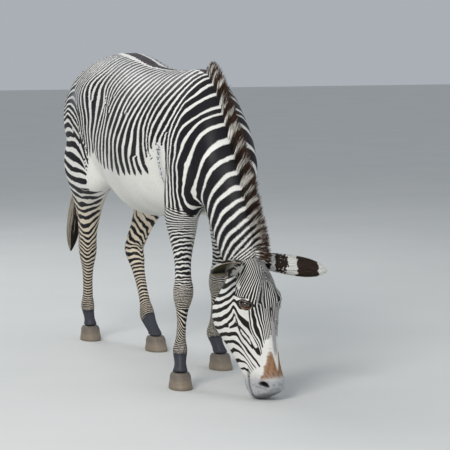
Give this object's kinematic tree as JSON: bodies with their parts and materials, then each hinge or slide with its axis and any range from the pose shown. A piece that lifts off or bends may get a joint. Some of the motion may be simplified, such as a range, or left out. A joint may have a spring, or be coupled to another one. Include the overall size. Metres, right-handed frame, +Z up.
{
  "type": "grevy's zebra",
  "caption": "Life-size still model of a Grevy's zebra grazing with its head down, standing on four hooves.",
  "frame": {"origin": "centre of the box's underside, on the ground between the hooves", "axes": "+X towards the animal's head, +Y to its left, +Z up"},
  "size_m": [2.1492, 0.6624, 1.522],
  "materials": {
    "coat": "short striped hair, black and white",
    "mane": "stiff upright hair, dark brown with white tufts",
    "tail_hair": "long coarse hair, dark with pale strands",
    "hoof": "dry grey-brown horn",
    "eye": "wet dark brown"
  },
  "bodies": {
    "root": {"trunk": "coat", "neck": "coat", "head": "coat", "eye_left": "eye", "eye_right": "eye", "ear_left": "coat", "ear_right": "coat", "foreleg_right": "coat", "foreleg_left": "coat", "hindleg_right": "coat", "hindleg_left": "coat", "forehoof_right": "hoof", "forehoof_left": "hoof", "hindhoof_right": "hoof", "hindhoof_left": "hoof", "mane": "mane", "tail": "coat", "tail_tuft": "tail_hair"}
  },
  "joints": []
}
